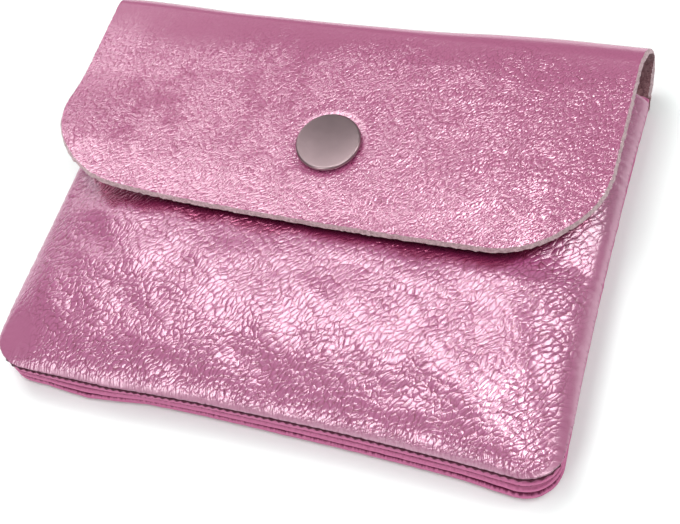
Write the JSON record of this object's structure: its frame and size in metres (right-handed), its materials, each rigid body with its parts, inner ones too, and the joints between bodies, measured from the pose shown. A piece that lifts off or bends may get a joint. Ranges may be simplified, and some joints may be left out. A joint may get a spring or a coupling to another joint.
{
  "type": "flap wallet",
  "caption": "Small flap wallet in soft foil leather: slip pockets front and rear, a zipped coin pocket between them and one round snap; the flap unrolls open.",
  "frame": {"origin": "centre of the back's flat face, on the table, half way between the bottom seam and the fold", "axes": "+X along the bottom seam to the right as seen from the front, +Y from the bottom seam to the fold, +Z out of the front, away from the table"},
  "size_m": [0.1326, 0.1056, 0.0209],
  "materials": {
    "foil_leather": "metallic pink foil, crackled grain",
    "satin_nickel": "satin nickel plate",
    "spring_steel": "drawn wire",
    "zip_tape": "woven twill",
    "thread": "twisted polyester"
  },
  "bodies": {
    "body": {"back_panel": "foil_leather", "inner_panel_rear": "foil_leather", "inner_panel_front": "foil_leather", "front_panel": "foil_leather", "snap_stud": "satin_nickel", "snap_stud_post": "satin_nickel", "zip_top_stop_upper": "satin_nickel", "zip_top_stop_lower": "satin_nickel", "zip_bottom_stop": "satin_nickel", "zip_teeth_upper": "satin_nickel", "zip_teeth_lower": "satin_nickel", "zip_tape_upper": "zip_tape", "zip_tape_lower": "zip_tape", "seam_thread_rear": "thread", "seam_thread_middle": "thread", "seam_thread_front": "thread", "zip_stitching_upper": "thread", "zip_stitching_lower": "thread"},
    "fold_1": {"fold_strip_1": "foil_leather"},
    "fold_2": {"fold_strip_2": "foil_leather"},
    "fold_3": {"fold_strip_3": "foil_leather"},
    "fold_4": {"fold_strip_4": "foil_leather"},
    "flap": {"flap": "foil_leather", "snap_cap": "satin_nickel", "snap_socket": "satin_nickel", "snap_ring_spring": "spring_steel"},
    "zip_slider": {"zip_slider": "satin_nickel"},
    "zip_pull": {"zip_pull": "satin_nickel"}
  },
  "joints": [
    {"name": "flap_opening", "type": "hinge", "parent": "body", "child": "fold_1", "pos_m": [0, 0.04405, 0.0005], "axis": [-1, 0, 0], "range_deg": [0, 18]},
    {"name": "fold_crease_2", "type": "hinge", "parent": "fold_1", "child": "fold_2", "pos_m": [0, 0.05034, 0.00311], "axis": [-1, 0, 0], "range_deg": [0, 45]},
    {"name": "fold_crease_3", "type": "hinge", "parent": "fold_2", "child": "fold_3", "pos_m": [0, 0.05295, 0.0094], "axis": [-1, 0, 0], "range_deg": [0, 45]},
    {"name": "fold_crease_4", "type": "hinge", "parent": "fold_3", "child": "fold_4", "pos_m": [0, 0.05034, 0.01569], "axis": [-1, 0, 0], "range_deg": [0, 45]},
    {"name": "flap_crease", "type": "hinge", "parent": "fold_4", "child": "flap", "pos_m": [0, 0.04405, 0.0183], "axis": [-1, 0, 0], "range_deg": [0, 22.5]},
    {"name": "zip_slide", "type": "slide", "parent": "body", "child": "zip_slider", "axis": [-1, 0, 0], "range_m": [0, 0.079], "deforming": ["zip_teeth_upper", "zip_teeth_lower", "zip_tape_upper", "zip_tape_lower"]},
    {"name": "pull_hinge", "type": "hinge", "parent": "zip_slider", "child": "zip_pull", "pos_m": [0.0388, 0.03595, 0.0112], "axis": [0, 1, 0], "range_deg": [0, 12]}
  ],
  "couplings": [
    {"joint": "fold_crease_2", "follows": "flap_opening", "ratio": 2.5},
    {"joint": "fold_crease_3", "follows": "flap_opening", "ratio": 2.5},
    {"joint": "fold_crease_4", "follows": "flap_opening", "ratio": 2.5},
    {"joint": "flap_crease", "follows": "flap_opening", "ratio": 1.25}
  ]
}
